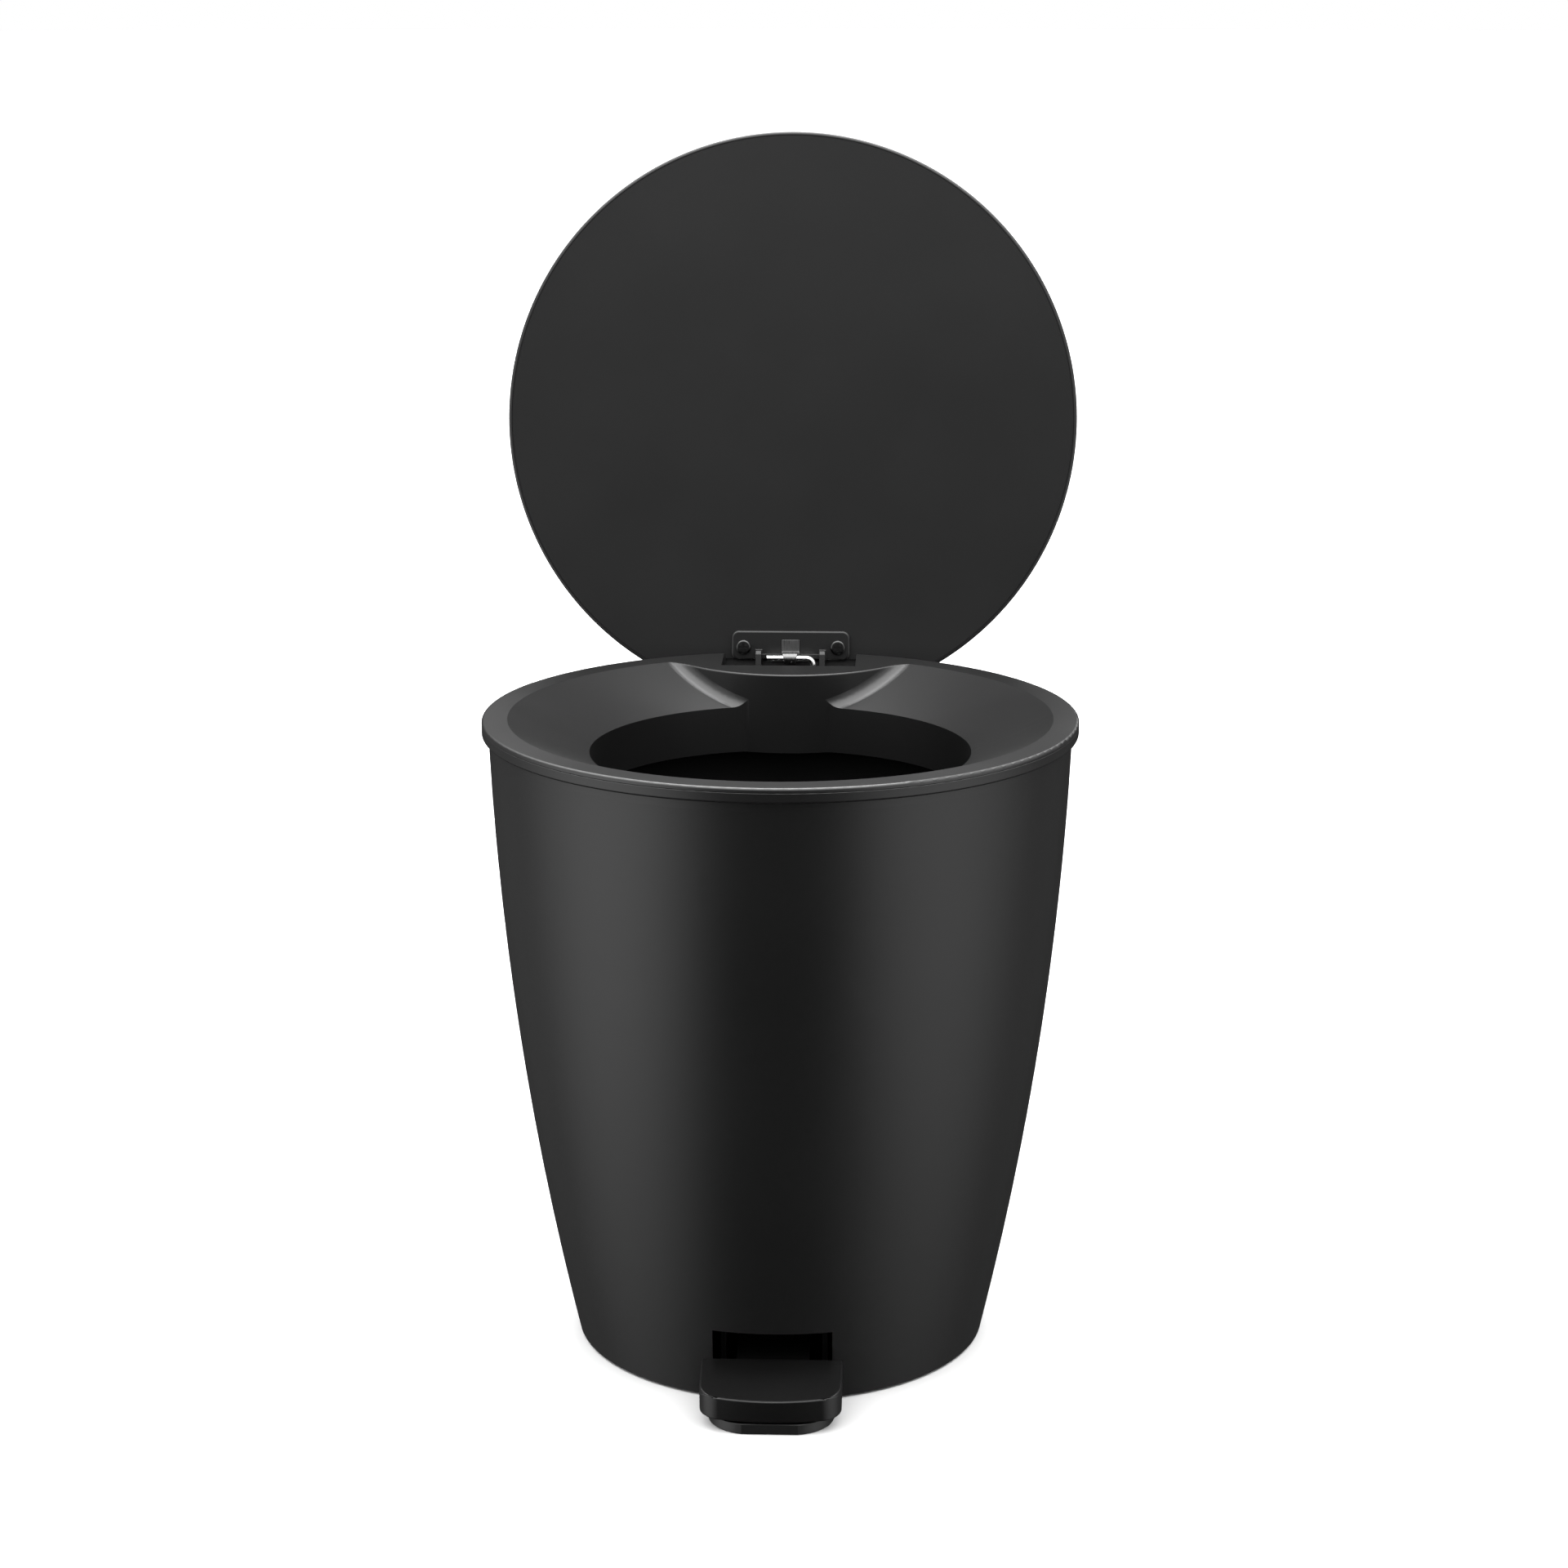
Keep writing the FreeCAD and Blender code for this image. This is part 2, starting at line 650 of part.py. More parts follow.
def make_lid():
    """The lid, in a frame whose origin is on the hinge axis and whose +Z is up when it is shut."""
    flange = begin("lid_cover", LID_FRAME + " * placement(vector(0; -hinge_back; 0); rotation(0; 0; 0))")
    face = "lid_lift"
    top = "lid_lift + lid_edge"

    def crown_middle(radius):
        """Height, above the edge, of the crown's arc half way out, for an arc level at the middle."""
        bend = "((%s)^2 + lid_crown^2) / (2 * lid_crown)" % radius
        return "lid_crown - %s + sqrt((%s)^2 - ((%s) / 2)^2)" % (bend, bend, radius)

    outside = "lid_radius - 2"
    inside = "lid_radius - lid_lip - 1"
    revolve(flange, [
        ("lid_radius - lid_lip", face),
        ("lid_radius - lid_round", face),
        ("arc", "lid_radius - 0.293 * lid_round", face + " + 0.293 * lid_round"),
        ("lid_radius", face + " + lid_round"),
        ("lid_radius", top + " - 2"),
        ("arc", "lid_radius - 0.6", top + " - 0.6"),
        (outside, top),
        ("arc", "(%s) / 2" % outside, top + " + " + crown_middle(outside)),
        ("0", top + " + lid_crown"),
        ("0", top + " + lid_crown - lid_skin"),
        ("arc", "(%s) / 2" % inside, top + " - lid_skin + " + crown_middle(inside)),
        (inside, top + " - lid_skin"),
        ("lid_radius - lid_lip", top + " - lid_skin - 0.5"),
    ])
    for side in (-1, 1):
        rod_through(flange, "XY_Plane", face + " + liner_inset + liner_thick", top + " + 0.5",
                    "%d * screw_spacing / 2" % side, "hinge_back - screw_reach", "4")
        rod_through(flange, "XY_Plane", face + " + 1", top + " - 0.8",
                    "%d * screw_spacing / 2" % side, "hinge_back - screw_reach",
                    "shank_radius + running_gap", "Pocket")

    liner = begin("lid_liner", LID_FRAME + " * placement(vector(0; -hinge_back; 0); rotation(0; 0; 0))")
    low = face + " + liner_inset"
    rod_through(liner, "XY_Plane", low, low + " + liner_thick", "0", "0",
                "lid_radius - lid_lip - 0.1")
    for side in (-1, 1):
        rod_through(liner, "XY_Plane", face + " - 1", face + " + 5",
                    "%d * screw_spacing / 2" % side, "hinge_back - screw_reach",
                    "shank_radius + running_gap", "Pocket")

    slab(liner, "XY_Plane", face + " - 1", face + " + 5",
         box("-notch_half", "notch_half", "hinge_back - bracket_foot - 0.5", "lid_radius + 5"), "Pocket")

    bracket = begin("lid_bracket", LID_FRAME)
    low = "lid_lift + liner_inset - bracket_thick"
    slant = "0.293 * bracket_corner"
    slab(bracket, "XY_Plane", low, "lid_lift + liner_inset", [
        ("-bracket_half", "-bracket_foot - bracket_corner"),
        ("-bracket_half", "-bracket_top + bracket_corner"),
        ("arc", "-bracket_half + " + slant, "-bracket_top + " + slant),
        ("-bracket_half + bracket_corner", "-bracket_top"),
        ("bracket_half - bracket_corner", "-bracket_top"),
        ("arc", "bracket_half - " + slant, "-bracket_top + " + slant),
        ("bracket_half", "-bracket_top + bracket_corner"),
        ("bracket_half", "-bracket_foot - bracket_corner"),
        ("arc", "bracket_half - " + slant, "-bracket_foot - " + slant),
        ("bracket_half - bracket_corner", "-bracket_foot"),
        ("-bracket_half + bracket_corner", "-bracket_foot"),
        ("arc", "-bracket_half + " + slant, "-bracket_foot - " + slant),
    ])
    front = number(low)

    def on_plate_front(edge):
        reach_box = edge.BoundBox
        return abs(reach_box.ZMin - front) < 0.01 and abs(reach_box.ZMax - front) < 0.01

    round_edges(bracket, "bracket_round", on_plate_front)
    for side in (-1, 1):
        start = "%d * lug_centre - lug_thick / 2" % side
        slab(bracket, "YZ_Plane", start, start + " + lug_thick", [
            ("-lug_reach", low + " + 0.5"),
            ("-lug_reach", "lug_nose + 1.4"),
            ("1.4 - lug_reach", "lug_nose"),
            ("-eye_radius * 0.9", "eye_radius * 0.436"),
            ("arc", "-eye_radius * 0.35", "-eye_radius * 0.937"),
            ("eye_radius * 0.9", "-eye_radius * 0.436"),
            ("-bracket_foot - 1", low + " + 0.5"),
        ])
        rod_through(bracket, "XY_Plane", low + " - 1", "lid_lift + 2",
                    "%d * screw_spacing / 2" % side, "-screw_reach",
                    "shank_radius + running_gap", "Pocket")
        inner = "%d * (strap_half + 0.6)" % side
        outer = "%d * lug_centre" % side
        slab(bracket, "XY_Plane", low + " - rib_proud", low + " + 0.5",
             box(inner, outer, "-rib_reach", "-bracket_foot - 1"))
    rod_through(bracket, "YZ_Plane", "-bracket_half", "bracket_half", "0", "0",
                "pin_radius + running_gap", "Pocket")

    for side, name in ((-1, "left"), (1, "right")):
        make_screw("lid_screw_" + name,
                   LID_FRAME + " * placement(vector(%d * screw_spacing / 2; -screw_reach; %s);"
                   " rotation(vector(1; 0; 0); 180))" % (side, low), "lid_screw_length")

    # the strap lies on the bracket and its end curls round the rod's crank
    strap = begin("lift_strap", LID_FRAME)
    crank_y = "crank_radius * sin(-open_angle)"
    crank_z = "crank_radius * cos(open_angle)"
    slab(strap, "YZ_Plane", "-strap_half", "strap_half", [
        ("-strap_top", low),
        ("-strap_top", low + " - strap_thick"),
        (crank_y + " - 2.4", low + " - strap_thick"),
        (crank_y + " - curl_radius", crank_z),
        ("arc", crank_y, crank_z + " - curl_radius"),
        (crank_y + " + curl_radius", crank_z),
        ("arc", crank_y + " + curl_radius * 0.6", crank_z + " + curl_radius * 0.8"),
        (crank_y, crank_z + " + curl_radius"),
        (crank_y + " - 0.9", low),
    ])
    rod_through(strap, "YZ_Plane", "-strap_half - 1", "strap_half + 1", crank_y, crank_z,
                "rod_radius + running_gap", "Pocket")
    for side in (-1, 1):
        slab(strap, "XY_Plane", "-10", low + " - strap_thick - 0.3", [
            ("%d * strap_neck" % side, "0"),
            ("%d * strap_neck" % side, "-crank_radius"),
            ("%d * strap_half" % side, "-crank_radius - 4"),
            ("%d * (strap_half + 2)" % side, "-crank_radius - 4"),
            ("%d * (strap_half + 2)" % side, "0"),
        ], "Pocket")


def make_rod():
    """The wire that joins the pedal to the lid, and the ring that keeps its foot in the pedal."""
    rod = begin("lift_rod", ROD_FRAME)
    path = sketch_on(rod, "XZ_Plane")
    corner = "0.293 * rod_bend"
    outline(path, [
        ("-crank_tail", "0"),
        ("rod_x - rod_bend", "0"),
        ("arc", "rod_x - " + corner, "-" + corner),
        ("rod_x", "-rod_bend"),
        ("rod_x", "-(%s) + rod_bend" % ROD_LENGTH),
        ("arc", "rod_x - " + corner, "-(%s) + %s" % (ROD_LENGTH, corner)),
        ("rod_x - rod_bend", "-(%s)" % ROD_LENGTH),
        ("-rod_tail", "-(%s)" % ROD_LENGTH),
    ], closed=False)
    section = sketch_on(rod, "YZ_Plane", "-crank_tail")
    circle(section, "0", "0", "rod_radius")
    pipe = rod.newObject("PartDesign::AdditivePipe", "RodWire")
    pipe.Profile = section
    pipe.Spine = (path, [])
    pipe.Transition = "Round corner"
    make_clip("rod_clip", ROD_FRAME + " * placement(vector(-rod_tail + 1.2; 0; -%s);"
              " rotation(0; 0; 0))" % ROD_LENGTH, "rod_radius")


def make_pedal():
    """The lever and its cap, in a frame on the axle that is level when the lever is level."""
    arm = begin("pedal_arm", PEDAL_FRAME)
    tail = "foot_back + pivot_front + 5.5"
    slab(arm, "YZ_Plane", "-tail_half", "tail_half", [
        ("-arm_front", "-arm_deep"),
        (tail, "-arm_deep"),
        (tail, "foot_slot_top + 2.5"),
        ("foot_back - 4", "foot_slot_top + 2.5"),
        ("foot_back - 14", "arm_deep"),
        ("-arm_front", "arm_deep"),
    ])
    slab(arm, "YZ_Plane", "-arm_half", "arm_half",
         box("-arm_front", "-axle_radius - 12", "-arm_deep", "arm_deep"))
    rod_through(arm, "YZ_Plane", "-hub_half", "hub_half", "0", "0", "hub_radius")
    rod_through(arm, "YZ_Plane", "-hub_half - 1", "hub_half + 1", "0", "0",
                "axle_radius + running_gap", "Pocket")
    slab(arm, "YZ_Plane", "-tail_half - 1", "tail_half + 1",
         box("%s - foot_slot_front" % PEDAL_REACH, "%s + foot_slot_back" % PEDAL_REACH,
             "-foot_slot_low", "foot_slot_top"), "Pocket")

    cap = begin("pedal_cap", PEDAL_FRAME)
    slab(cap, "YZ_Plane", "-cap_half", "cap_half", [
        ("-cap_front", "cap_low"),
        ("-cap_front", "cap_front_top"),
        ("-cap_back", "cap_back_top"),
        ("-cap_back", "cap_low"),
    ])
    # the front is bowed and runs into round corners
    slab(cap, "XY_Plane", "-30", "30", [
        ("-cap_half", "-cap_side_front"),
        ("arc", "-cap_half + 2.3", "-cap_side_front - 6.2"),
        ("-cap_half + 8.5", "-cap_front + 2"),
        ("arc", "0", "-cap_front"),
        ("cap_half - 8.5", "-cap_front + 2"),
        ("arc", "cap_half - 2.3", "-cap_side_front - 6.2"),
        ("cap_half", "-cap_side_front"),
        ("cap_half", "-cap_front - 5"),
        ("-cap_half", "-cap_front - 5"),
    ], "Pocket")
    socket_half = "arm_half + 0.1"
    slab(cap, "YZ_Plane", "-(%s)" % socket_half, socket_half,
         box("-arm_front - 0.1", "0", "-30", "arm_deep + 0.1"), "Pocket")

    for side, name in ((-1, "left"), (1, "right")):
        place = "vector(%d * pedal_screw_x; -pedal_screw_back; -arm_deep)" % side
        make_screw("pedal_screw_" + name,
                   PEDAL_FRAME + " * placement(%s; rotation(vector(1; 0; 0); 180))" % place,
                   "pedal_screw_length")
        for owner in (arm, cap):
            owner.Tip = owner.Group[-1]
            rod_through(owner, "XY_Plane", "-arm_deep - 10", "pedal_screw_length - arm_deep + 0.5",
                        "%d * pedal_screw_x" % side, "-pedal_screw_back",
                        "shank_radius + running_gap", "Pocket")

    axle = begin("pedal_axle", "placement(vector(0; -pivot_front; pivot_height); rotation(0; 0; 0))")
    rod_through(axle, "YZ_Plane", "-axle_half", "axle_half", "0", "0", "axle_radius")
    for side, name in ((-1, "left"), (1, "right")):
        make_clip("axle_clip_" + name, "placement(vector(%d * (axle_half - 1.2); -pivot_front; pivot_height);"
                  " rotation(0; 0; 0))" % side, "axle_radius")


def make_base_screws():
    for count in range(4):
        turn = 45 + 90 * count
        place = "post_circle * cos(%d); post_circle * sin(%d); cup_depth" % (turn, turn)
        make_screw("base_screw_%d" % (count + 1),
                   "placement(vector(%s); rotation(vector(1; 0; 0); 180))" % place,
                   "base_screw_top - cup_depth")


make_outer_body()
make_collar()
make_bucket()
make_base()
make_base_screws()
make_hinge()
make_lid()
make_rod()
make_pedal()
doc.recompute()

for item in doc.Objects:
    faults = [state for state in item.State if state in ("Invalid", "Error")]
    if faults:
        raise RuntimeError("%s is %s: %s" % (item.Name, faults, item.getStatusString()))
for piece in parts:
    if piece.Shape.isNull() or not piece.Shape.isValid() or len(piece.Shape.Solids) != 1:
        raise RuntimeError("%s has no single valid solid" % piece.Label)

os.makedirs("parts", exist_ok=True)
for piece in parts:
    piece.Shape.exportStep("parts/%s.step" % piece.Label)
    print("%-22s %9.0f mm3" % (piece.Label, piece.Shape.Volume))
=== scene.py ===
import json
import math

import bmesh
import bpy
from mathutils import Matrix, Vector


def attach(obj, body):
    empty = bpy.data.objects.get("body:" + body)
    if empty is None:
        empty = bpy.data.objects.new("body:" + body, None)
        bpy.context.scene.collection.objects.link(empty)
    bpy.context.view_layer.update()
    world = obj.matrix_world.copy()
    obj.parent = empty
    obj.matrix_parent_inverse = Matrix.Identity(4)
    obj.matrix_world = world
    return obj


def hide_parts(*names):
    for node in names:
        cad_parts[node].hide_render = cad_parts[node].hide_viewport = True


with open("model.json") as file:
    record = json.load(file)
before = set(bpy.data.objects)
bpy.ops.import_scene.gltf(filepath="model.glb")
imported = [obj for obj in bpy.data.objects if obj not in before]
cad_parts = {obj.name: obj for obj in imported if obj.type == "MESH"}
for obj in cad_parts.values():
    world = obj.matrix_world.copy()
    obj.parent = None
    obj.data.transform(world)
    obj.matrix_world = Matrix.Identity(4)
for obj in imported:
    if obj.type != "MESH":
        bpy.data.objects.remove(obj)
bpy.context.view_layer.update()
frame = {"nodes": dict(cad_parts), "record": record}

nodes = frame["nodes"]
MM = 0.001

# ---------------------------------------------------------------- materials
GRAIN_SCALE = 1900
DRIFT_SCALE = 14
DUST_SCALE = 60
GRAIN_DEPTH = 0.04 * MM
GLOSS_DRIFT = 0.02
DUST_DARK = (0.012, 0.012, 0.012)
DUST_LIGHT = (0.03, 0.03, 0.029)


def new_material(name):
    material = bpy.data.materials.new(name)
    material.use_nodes = True
    tree = material.node_tree
    tree.nodes.clear()
    out = tree.nodes.new("ShaderNodeOutputMaterial")
    shader = tree.nodes.new("ShaderNodeBsdfPrincipled")
    tree.links.new(shader.outputs["BSDF"], out.inputs["Surface"])
    return material, tree, shader


def noise(tree, scale, detail, stretch=None):
    coords = tree.nodes.new("ShaderNodeTexCoord")
    texture = tree.nodes.new("ShaderNodeTexNoise")
    texture.inputs["Scale"].default_value = scale
    texture.inputs["Detail"].default_value = detail
    place = coords.outputs["Object"]
    if stretch:
        mapping = tree.nodes.new("ShaderNodeMapping")
        mapping.inputs["Scale"].default_value = stretch
        tree.links.new(place, mapping.inputs["Vector"])
        place = mapping.outputs["Vector"]
    tree.links.new(place, texture.inputs["Vector"])
    return texture.outputs["Fac"]


def spread(tree, source, low, high):
    """Maps the middle of a noise's range, where most of it lies, to low..high."""
    node = tree.nodes.new("ShaderNodeMapRange")
    node.inputs["From Min"].default_value = 0.3
    node.inputs["From Max"].default_value = 0.7
    node.inputs["To Min"].default_value = low
    node.inputs["To Max"].default_value = high
    tree.links.new(source, node.inputs["Value"])
    return node.outputs["Result"]


def bump(tree, shader, source, strength, distance):
    node = tree.nodes.new("ShaderNodeBump")
    node.inputs["Strength"].default_value = strength
    node.inputs["Distance"].default_value = distance
    tree.links.new(source, node.inputs["Height"])
    tree.links.new(node.outputs["Normal"], shader.inputs["Normal"])


def tint(tree, source, dark, light):
    node = tree.nodes.new("ShaderNodeMix")
    node.data_type = "RGBA"
    factor, dark_socket, light_socket, blend = 0, 6, 7, 2
    node.inputs[dark_socket].default_value = (*dark, 1)
    node.inputs[light_socket].default_value = (*light, 1)
    tree.links.new(source, node.inputs[factor])
    return node.outputs[blend]


def moulded_plastic(name, level, roughness, gloss=0.5):
    """Black injection-moulded plastic: fine spark-eroded grain and a slow drift of gloss."""
    material, tree, shader = new_material(name)
    shader.inputs["Specular IOR Level"].default_value = gloss
    fine = noise(tree, GRAIN_SCALE, 3)
    broad = noise(tree, DRIFT_SCALE, 3)
    dark = (level * 0.9, level * 0.9, level * 0.92)
    light = (level * 1.1, level * 1.1, level * 1.12)
    tree.links.new(tint(tree, broad, dark, light), shader.inputs["Base Color"])
    rough = spread(tree, broad, roughness - GLOSS_DRIFT, roughness + GLOSS_DRIFT)
    tree.links.new(rough, shader.inputs["Roughness"])
    bump(tree, shader, fine, 0.12, GRAIN_DEPTH)
    return material


def rubber(name):
    """Soft dull rubber with a little dust."""
    material, tree, shader = new_material(name)
    dust = noise(tree, DUST_SCALE, 4)
    tree.links.new(tint(tree, dust, DUST_DARK, DUST_LIGHT), shader.inputs["Base Color"])
    shader.inputs["Roughness"].default_value = 0.8
    bump(tree, shader, noise(tree, 900, 2), 0.3, 0.1 * MM)
    return material


def metal(name, level, roughness, streak, scale):
    """Plated steel with a drawn, rolled or turned grain."""
    material, tree, shader = new_material(name)
    shader.inputs["Metallic"].default_value = 1.0
    grain = noise(tree, scale, 4, streak)
    low = (level * 0.88,) * 3
    high = (level * 1.06,) * 3
    tree.links.new(tint(tree, grain, low, high), shader.inputs["Base Color"])
    rough = spread(tree, grain, roughness * 0.8, roughness * 1.25)
    tree.links.new(rough, shader.inputs["Roughness"])
    bump(tree, shader, grain, 0.05, 0.1 * MM)
    return material


MATERIALS = {
    "body_black": moulded_plastic("body plastic", 0.003, 0.34),
    "collar_black": moulded_plastic("collar plastic", 0.004, 0.34, gloss=0.62),
    # painted shade: the bucket's plastic is darker than the body's to stand for the shade deep
    # inside the bin
    "bucket_black": moulded_plastic("bucket plastic with painted shade", 0.0015, 0.6, gloss=0.15),
    "base_black": moulded_plastic("base plastic", 0.003, 0.4),
    "lid_black": moulded_plastic("lid plastic", 0.004, 0.34),
    "liner_black": moulded_plastic("liner plastic", 0.003, 0.36),
    "bracket_black": moulded_plastic("bracket plastic", 0.003, 0.34),
    "pedal_black": moulded_plastic("pedal plastic", 0.001, 0.34),
    # painted shade: the lever's plastic is darker than the body's so the arm sinks into the shade
    # of the pedal slot
    "lever_black": moulded_plastic("lever plastic with painted shade", 0.0012, 0.6, gloss=0.12),
    "pad_rubber": rubber("pad rubber"),
    "wire_steel": metal("bright wire", 0.9, 0.18, (1, 40, 40), 30),
    "strap_steel": metal("plated sheet", 0.16, 0.3, (60, 4, 4), 40),
    "pin_steel": metal("turned pin", 0.7, 0.25, (200, 10, 10), 20),
    "clip_steel": metal("spring steel", 0.5, 0.3, (8, 8, 8), 60),
    "screw_steel": metal("plated screw", 0.07, 0.2, (20, 20, 20), 60),
}

for entry in frame["record"]["subparts"]:
    mesh = nodes[entry["node"]].data
    mesh.materials.clear()
    mesh.materials.append(MATERIALS[entry["material_slot"]])

# the lever is an inside part in the pedal slot: rough and dull, and made darker than the body as
# painted shade for the slot
nodes["pedal_arm"].data.materials[0] = MATERIALS["lever_black"]

# ---------------------------------------------------------------- eased edges
EASED = {"pedal_cap": 0.7, "lid_bracket": 0.3, "base_plate": 0.4, "lift_strap": 0.2}
SHARPEST_SMOOTH = math.radians(32)

for name, width in EASED.items():
    weld = nodes[name].modifiers.new("join", "WELD")
    weld.merge_threshold = 0.01 * MM
    edge = nodes[name].modifiers.new("eased edges", "BEVEL")
    edge.limit_method = "ANGLE"
    edge.angle_limit = SHARPEST_SMOOTH
    edge.width = width * MM
    edge.segments = 3
    edge.use_clamp_overlap = False
    even = nodes[name].modifiers.new("even faces", "WEIGHTED_NORMAL")
    even.keep_sharp = True


# ---------------------------------------------------------------- turned pieces
def corner(centre_x, centre_z, radius, first, last, steps=8):
    """Points on a round corner of a profile, from one angle to another in degrees."""
    turns = (math.radians(first + (last - first) * step / steps) for step in range(steps + 1))
    return [(centre_x + radius * math.cos(t), centre_z + radius * math.sin(t)) for t in turns]


def crown(reach, rise, edge_height, steps=40):
    """A shallow dome's profile from its edge to its middle, which is level."""
    bend = (reach**2 + rise**2) / (2 * rise)
    places = (reach * (1 - step / steps) for step in range(steps + 1))
    return [(x, edge_height + rise - bend + math.sqrt(bend**2 - x**2)) for x in places]


def lathe(name, profile, turn_to_place, segments):
    """A closed profile in mm turned about Z. A point on the axis becomes a single vertex."""
    shape = bmesh.new()
    rings = []
    for x, z in profile:
        if x < 1e-9:
            rings.append([shape.verts.new((0, 0, z * MM))] * segments)
            continue
        ring = []
        for step in range(segments):
            turn = 2 * math.pi * step / segments
            ring.append(shape.verts.new((x * MM * math.cos(turn), x * MM * math.sin(turn), z * MM)))
        rings.append(ring)
    for ring, following in zip(rings, rings[1:] + rings[:1]):
        for step in range(segments):
            after = (step + 1) % segments
            loop = [ring[step], ring[after], following[after], following[step]]
            loop = list(dict.fromkeys(loop))
            if len(loop) > 2:
                shape.faces.new(loop)
    bmesh.ops.recalc_face_normals(shape, faces=shape.faces)
    mesh = bpy.data.meshes.new(name)
    shape.to_mesh(mesh)
    shape.free()
    mesh.transform(turn_to_place)
    mesh.shade_smooth()
    mesh.set_sharp_from_angle(angle=math.radians(35))
    piece = bpy.data.objects.new(name, mesh)
    bpy.context.scene.collection.objects.link(piece)
    return piece


# ---------------------------------------------------------------- lid cover
LID_RADIUS = 129.0
LID_FACE = 10.8
LID_TOP = 15.39
LID_SKIN = 2
LID_LIP = 1.5
FACE_ROUND = 1.3
TOP_ROUND = 2
CROWN_RISE = 5.6
OPEN_ANGLE = 98

hinge = next(j for j in frame["record"]["behaviour"]["joints"] if j["name"] == "lid_hinge")
axis_place = Vector(hinge["pos_m"])
axis_back = Vector((0, axis_place.y, 0))
open_lid = Matrix.Translation(axis_place) @ Matrix.Rotation(math.radians(-OPEN_ANGLE), 4, "X")
cover_profile = [(LID_RADIUS - LID_LIP, LID_FACE)]
cover_profile += corner(LID_RADIUS - FACE_ROUND, LID_FACE + FACE_ROUND, FACE_ROUND, -90, 0)
cover_profile += corner(LID_RADIUS - TOP_ROUND, LID_TOP - TOP_ROUND, TOP_ROUND, 0, 90)[:-1]
cover_profile += crown(LID_RADIUS - TOP_ROUND, CROWN_RISE, LID_TOP)
cover_profile += crown(LID_RADIUS - LID_LIP - 1, CROWN_RISE, LID_TOP - LID_SKIN)[::-1]
cover_profile += [(LID_RADIUS - LID_LIP, LID_TOP - LID_SKIN - 0.5)]
cover = lathe("lid_outer_shell", cover_profile, open_lid @ Matrix.Translation(-axis_back), 288)
cover.data.materials.append(MATERIALS["lid_black"])
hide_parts("lid_cover")
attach(cover, "lid")

# ---------------------------------------------------------------- screw seats
# each hinge screw's head sits on a raised ring, because the wall behind it is round and leans
SEAT_RISE = 3.63
SEAT_RADIUS = 4.4
SEAT_BORE = 1.7
SEAT_ROUND = 0.6
SEAT_DRAFT = 0.5
SEAT_ACROSS = 23
SEAT_BACK = 117.55
SEAT_HEIGHT = 240

seat_profile = [(SEAT_BORE, 0), (SEAT_RADIUS + SEAT_DRAFT, 0)]
seat_profile += corner(SEAT_RADIUS - SEAT_ROUND, SEAT_RISE - SEAT_ROUND, SEAT_ROUND, 0, 90)
seat_profile += [(SEAT_BORE, SEAT_RISE)]
face_back = Matrix.Rotation(math.radians(-90), 4, "X")
for side, name in ((-1, "left"), (1, "right")):
    place = Matrix.Translation((side * SEAT_ACROSS * MM, SEAT_BACK * MM, SEAT_HEIGHT * MM))
    seat = lathe("screw_seat_" + name, seat_profile, place @ face_back, 64)
    seat.data.materials.append(MATERIALS["body_black"])
    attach(seat, "bin")

# ---------------------------------------------------------------- floor and backdrop
STAGE_RADIUS = 20.0
FLOOR_TONE = 0.6

corners = [(-1, -1), (1, -1), (1, 1), (-1, 1)]
floor_mesh = bpy.data.meshes.new("floor")
floor_corners = [(x * STAGE_RADIUS, y * STAGE_RADIUS, 0) for x, y in corners]
floor_mesh.from_pydata(floor_corners, [], [(0, 1, 2, 3)])
floor = bpy.data.objects.new("floor", floor_mesh)
bpy.context.scene.collection.objects.link(floor)
floor_material, _, floor_shader = new_material("pale floor")
floor_shader.inputs["Base Color"].default_value = (FLOOR_TONE, FLOOR_TONE, FLOOR_TONE, 1)
floor_shader.inputs["Roughness"].default_value = 0.9
floor_shader.inputs["Specular IOR Level"].default_value = 0.0
floor_mesh.materials.append(floor_material)
floor.location.z = -0.2 * MM
floor.visible_glossy = False

# the backdrop lights nothing and shows in no reflection
backdrop_mesh = bpy.data.meshes.new("backdrop")
shape = bmesh.new()
bmesh.ops.create_uvsphere(shape, u_segments=48, v_segments=24, radius=STAGE_RADIUS)
shape.to_mesh(backdrop_mesh)
shape.free()
backdrop = bpy.data.objects.new("backdrop", backdrop_mesh)
bpy.context.scene.collection.objects.link(backdrop)
backdrop_material, _, backdrop_shader = new_material("white backdrop")
backdrop_shader.inputs["Base Color"].default_value = (0, 0, 0, 1)
backdrop_shader.inputs["Specular IOR Level"].default_value = 0.0
backdrop_shader.inputs["Emission Color"].default_value = (1, 1, 1, 1)
backdrop_shader.inputs["Emission Strength"].default_value = 1.0
backdrop_mesh.materials.append(backdrop_material)
for kind in ("diffuse", "glossy", "transmission", "shadow", "volume_scatter"):
    setattr(backdrop, "visible_" + kind, False)

# ---------------------------------------------------------------- studio light
# pale above, long pale screens to the left and right, dim in front and behind
FRONT_LIGHT = 0.05
LEFT_LIGHT = 1.7
RIGHT_SHARE = 0.76
BEHIND_SHARE = 0.10
UNDER_SHARE = 0.06
HIGH_LIGHT = 1.2
ZENITH_LIGHT = 3.7
SOFTBOX_PLACE = Vector((0.0, 0.9, 2.2))
SOFTBOX_AIM = Vector((0, 0, 0.25))
SOFTBOX_SIZE = 1.3
SOFTBOX_POWER = 30

world = bpy.data.worlds.new("studio")
bpy.context.scene.world = world
world.use_nodes = True
sky = world.node_tree
direction = sky.nodes.new("ShaderNodeTexCoord")
axes = sky.nodes.new("ShaderNodeSeparateXYZ")
sky.links.new(direction.outputs["Generated"], axes.inputs["Vector"])


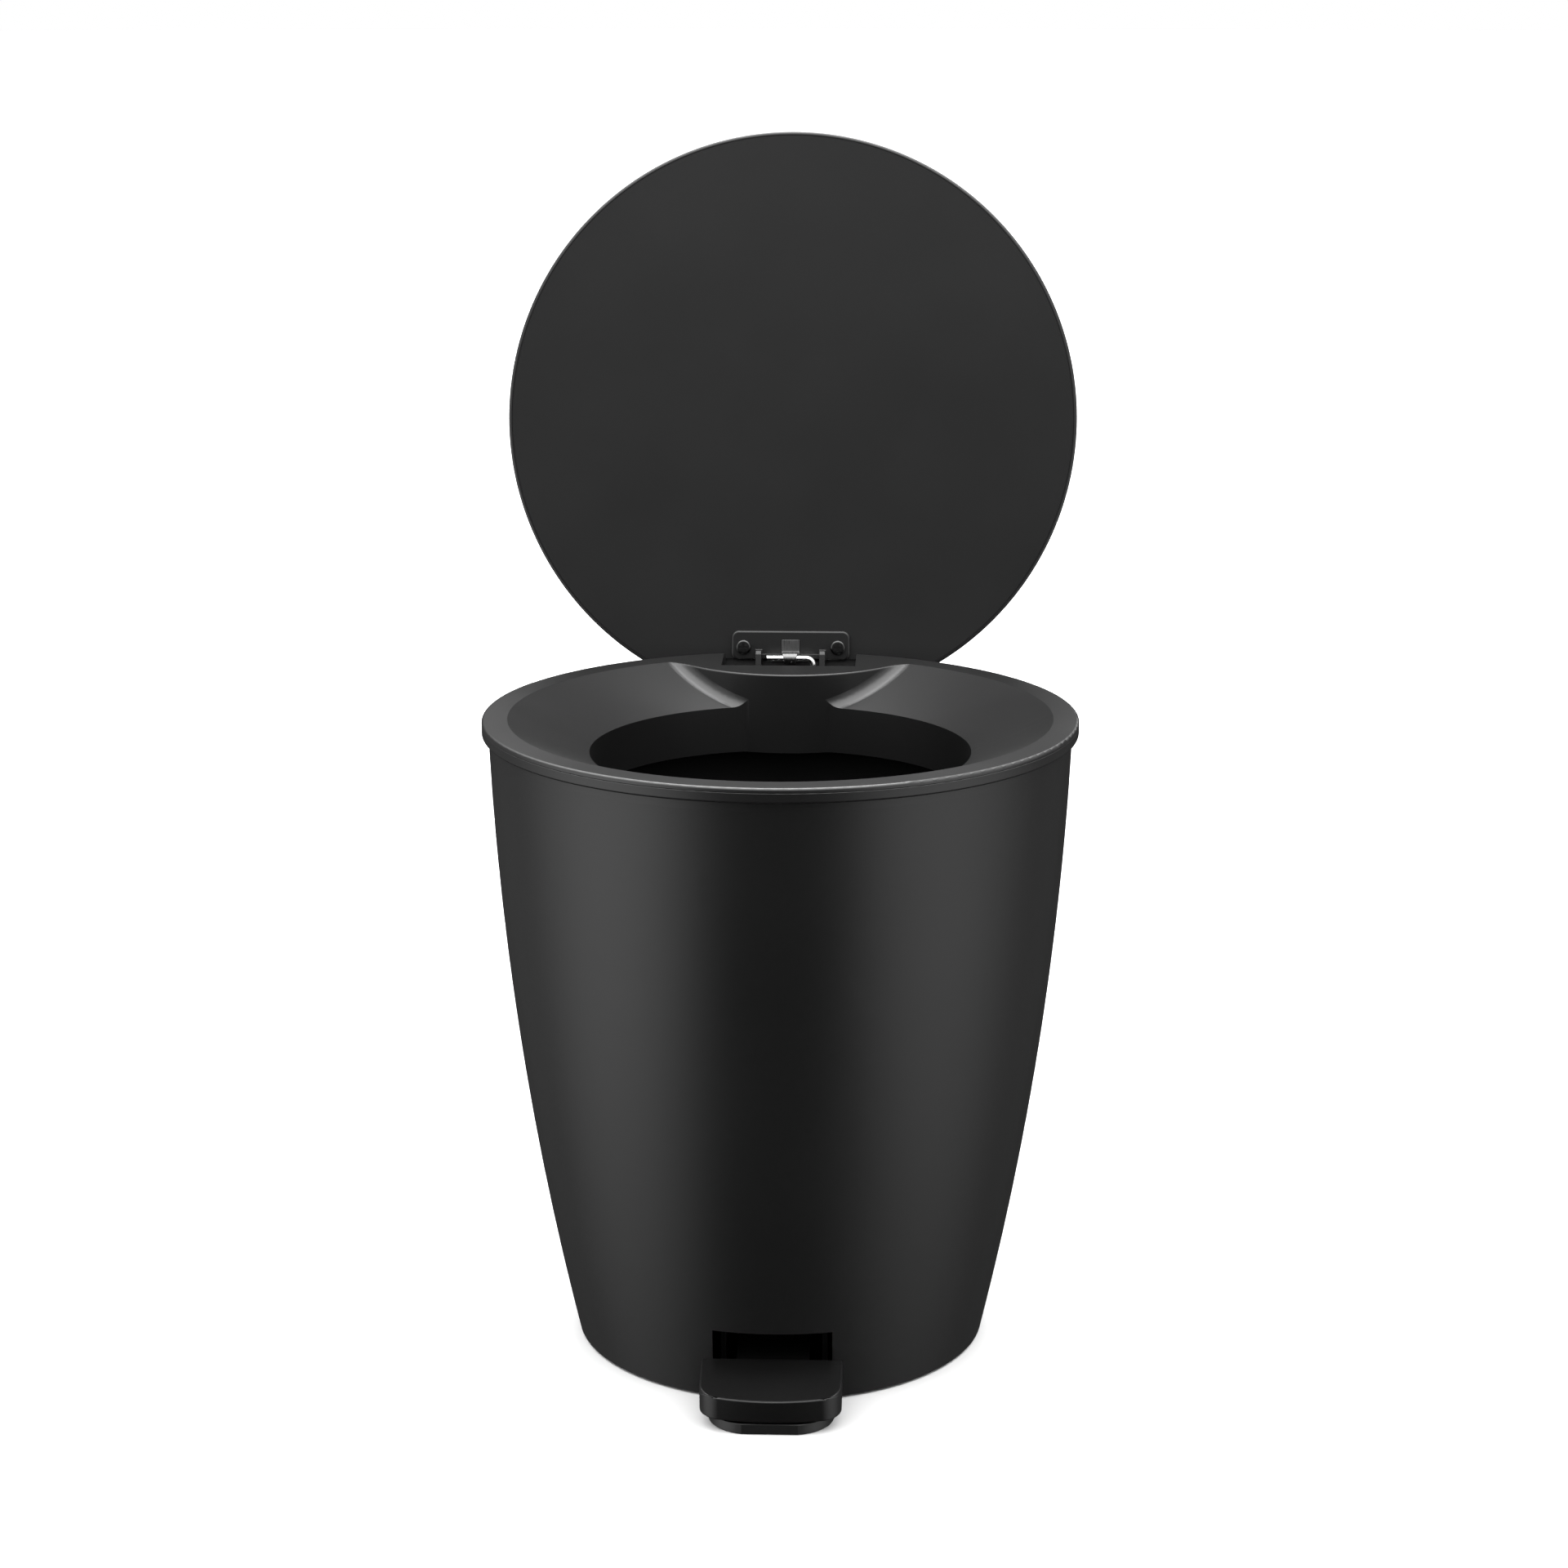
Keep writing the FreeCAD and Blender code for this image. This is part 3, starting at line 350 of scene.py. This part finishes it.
def sky_math(operation, first, second=None):
    node = sky.nodes.new("ShaderNodeMath")
    node.operation = operation
    for socket, value in zip(node.inputs, (first, second)):
        if isinstance(value, (int, float)):
            socket.default_value = value
        elif value is not None:
            sky.links.new(value, socket)
    return node.outputs["Value"]


def sky_range(source, from_low, from_high, to_low, to_high):
    node = sky.nodes.new("ShaderNodeMapRange")
    node.interpolation_type = "SMOOTHSTEP"
    node.inputs["From Min"].default_value = from_low
    node.inputs["From Max"].default_value = from_high
    node.inputs["To Min"].default_value = to_low
    node.inputs["To Max"].default_value = to_high
    sky.links.new(source, node.inputs["Value"])
    return node.outputs["Result"]


across, along, up = (axes.outputs[n] for n in "XYZ")
sides = sky_range(sky_math("ABSOLUTE", across), 0.3, 0.8, 0.0, LEFT_LIGHT)
sides = sky_math("MULTIPLY", sides, sky_range(across, -0.2, 0.2, 1.0, RIGHT_SHARE))
sides = sky_math("MULTIPLY", sides, sky_range(along, -0.35, 0.55, 1.0, BEHIND_SHARE))
sides = sky_math("MULTIPLY", sides, sky_range(up, -0.82, -0.33, UNDER_SHARE, 1.0))
low_light = sky_math("ADD", sides, FRONT_LIGHT)
# behind the bin the pale part starts higher
raised = sky_math("SUBTRACT", up, sky_range(along, -0.2, 0.5, 0.0, 0.2))
height = sky_range(raised, 0.07, 0.42, 0.0, 1.0)
zenith = sky_range(up, 0.42, 0.82, 0.0, ZENITH_LIGHT)
low_part = sky_math("MULTIPLY", low_light, sky_math("SUBTRACT", 1.0, height))
high_part = sky_math("ADD", sky_math("MULTIPLY", height, HIGH_LIGHT), zenith)
background = sky.nodes["Background"]
background.inputs["Color"].default_value = (1, 1, 1, 1)
sky.links.new(sky_math("ADD", low_part, high_part), background.inputs["Strength"])

softbox_data = bpy.data.lights.new("top softbox", "AREA")
softbox_data.shape = "RECTANGLE"
softbox_data.size = SOFTBOX_SIZE
softbox_data.size_y = SOFTBOX_SIZE
softbox_data.energy = SOFTBOX_POWER
softbox = bpy.data.objects.new("top softbox", softbox_data)
softbox.location = SOFTBOX_PLACE
softbox.rotation_euler = (SOFTBOX_AIM - SOFTBOX_PLACE).to_track_quat("-Z", "Y").to_euler()
bpy.context.scene.collection.objects.link(softbox)

# ---------------------------------------------------------------- camera
AZIMUTH = math.radians(2.15)
TURN = math.radians(0.065)
DISTANCE = 1.3524
HEIGHT = 0.5897
PITCH = math.radians(14.43)

camera_data = bpy.data.cameras.new("camera")
camera_data.sensor_width = 36
camera_data.lens = 76.0
camera = bpy.data.objects.new("camera", camera_data)
camera.location = (DISTANCE * math.sin(AZIMUTH), -DISTANCE * math.cos(AZIMUTH), HEIGHT)
camera.rotation_euler = (math.pi / 2 - PITCH, 0, AZIMUTH - TURN)
bpy.context.scene.collection.objects.link(camera)
bpy.context.scene.camera = camera
bpy.context.scene.view_settings.view_transform = "Standard"
